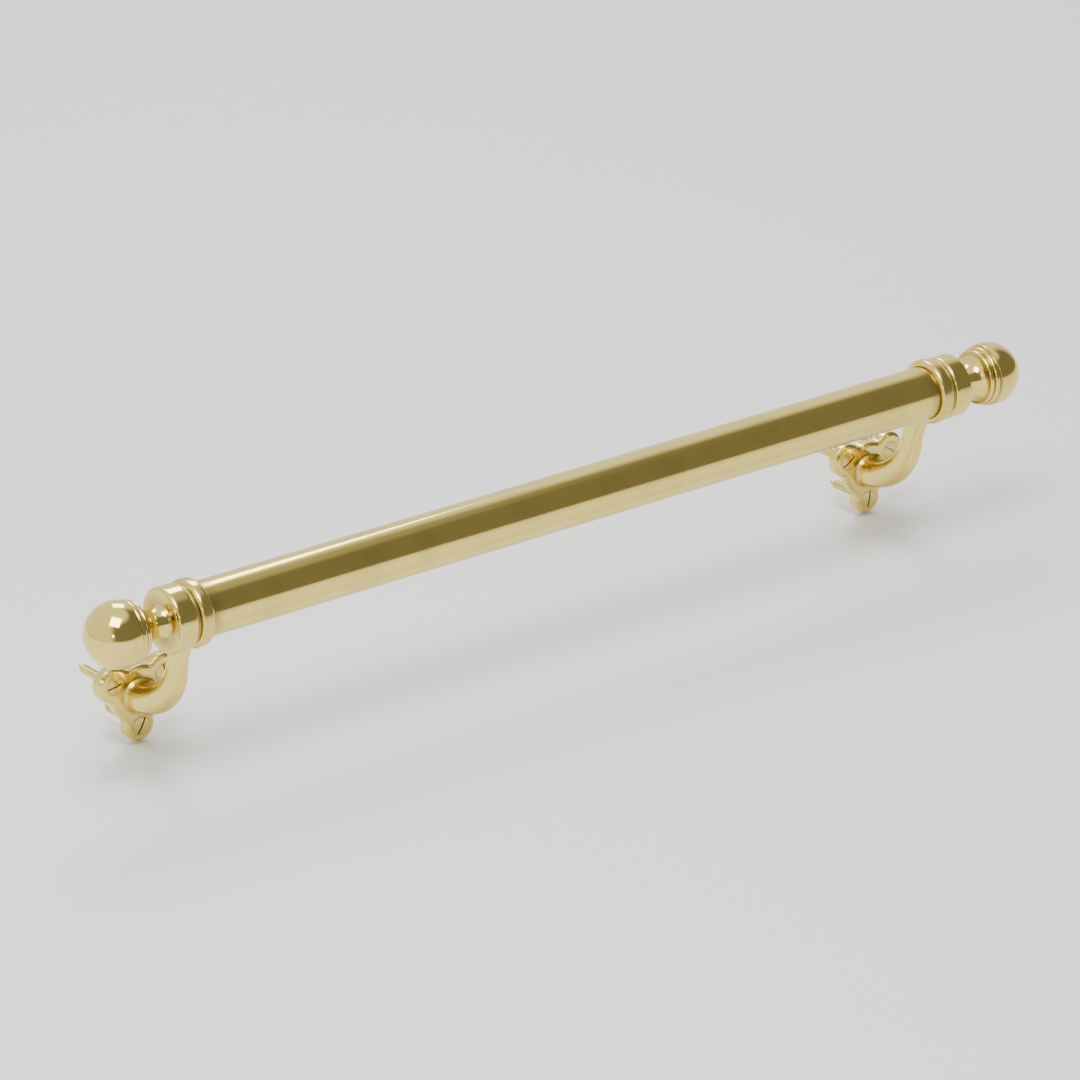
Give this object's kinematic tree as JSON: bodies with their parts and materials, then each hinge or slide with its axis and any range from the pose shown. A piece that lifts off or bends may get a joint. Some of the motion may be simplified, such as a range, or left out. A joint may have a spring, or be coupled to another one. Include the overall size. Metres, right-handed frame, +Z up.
{
  "type": "sash lift handle",
  "caption": "Brass bar lift handle for a sliding sash: a round bar with ball finials, held off the rail by two curved brackets on trefoil plates.",
  "frame": {"origin": "on the face of the sash rail, midway between the two plates and level with the centres of their screw circles", "axes": "+X along the bar to the right as seen from the room, +Y into the sash, +Z up"},
  "size_m": [0.457, 0.0734, 0.0789],
  "materials": {
    "polished_brass": "polished, light tarnish in the recesses",
    "screw_brass": "turned, satin",
    "zinc_steel": "bright zinc plate",
    "black_steel": "black oxide"
  },
  "bodies": {
    "brackets": {"left_backplate": "polished_brass", "left_bracket_arm": "polished_brass", "left_arm_screw": "zinc_steel", "left_outer_plate_screw": "screw_brass", "left_inner_plate_screw": "screw_brass", "left_lower_plate_screw": "screw_brass", "right_backplate": "polished_brass", "right_bracket_arm": "polished_brass", "right_arm_screw": "zinc_steel", "right_outer_plate_screw": "screw_brass", "right_inner_plate_screw": "screw_brass", "right_lower_plate_screw": "screw_brass"},
    "bar": {"bar_tube": "polished_brass", "left_end_plug": "screw_brass", "left_washer": "screw_brass", "left_finial_stud": "zinc_steel", "left_finial": "polished_brass", "left_finial_grub_screw": "black_steel", "right_end_plug": "screw_brass", "right_washer": "screw_brass", "right_finial_stud": "zinc_steel", "right_finial": "polished_brass", "right_finial_grub_screw": "black_steel"}
  },
  "joints": [
    {"name": "bar_turn", "type": "hinge", "parent": "brackets", "child": "bar", "pos_m": [0, -0.04, 0.046], "axis": [1, 0, 0], "continuous": true}
  ]
}
